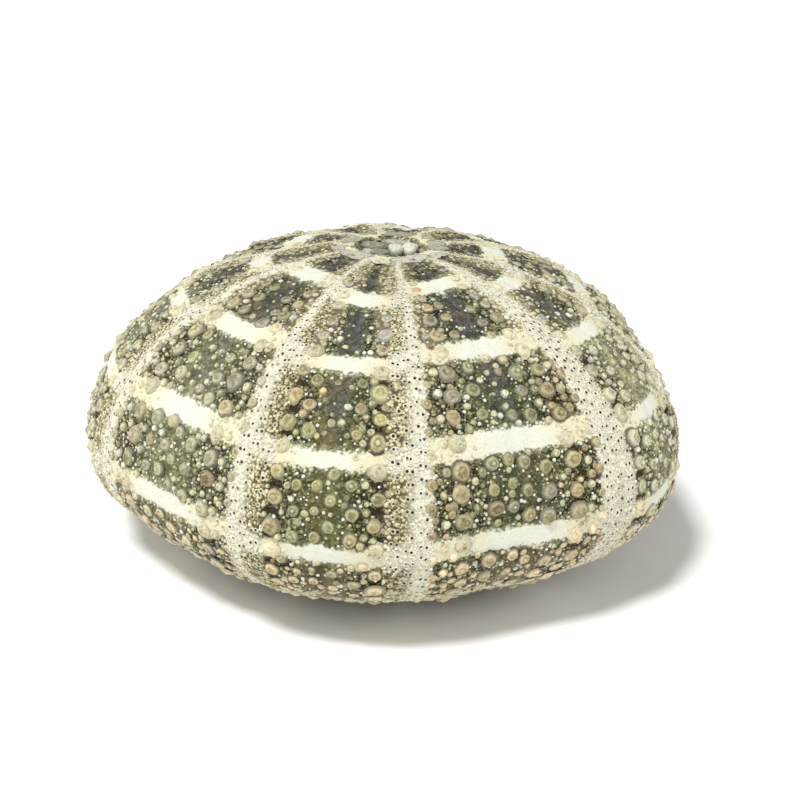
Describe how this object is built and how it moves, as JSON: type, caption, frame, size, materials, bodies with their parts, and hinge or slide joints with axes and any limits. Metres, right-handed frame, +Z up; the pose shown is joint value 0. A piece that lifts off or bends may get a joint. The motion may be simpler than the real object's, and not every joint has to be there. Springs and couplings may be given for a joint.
{
  "type": "sea urchin shell",
  "caption": "Bare hollow sea urchin shell, a low five-lobed dome with rows of round knobs, pore bands, pale cross bands and an open mouth below; rests flat as decor.",
  "frame": {"origin": "on the resting plane, under the middle of the shell's outline", "axes": "+Z up along the polar axis, -Y towards the middle of one pore-edged lobe, +X to the right of it"},
  "size_m": [0.1274, 0.1262, 0.0653],
  "materials": {
    "shell": "dry chalky lime, grey green with white bands and pale pore zones"
  },
  "bodies": {
    "root": {"sea_urchin_shell": "shell"}
  },
  "joints": []
}
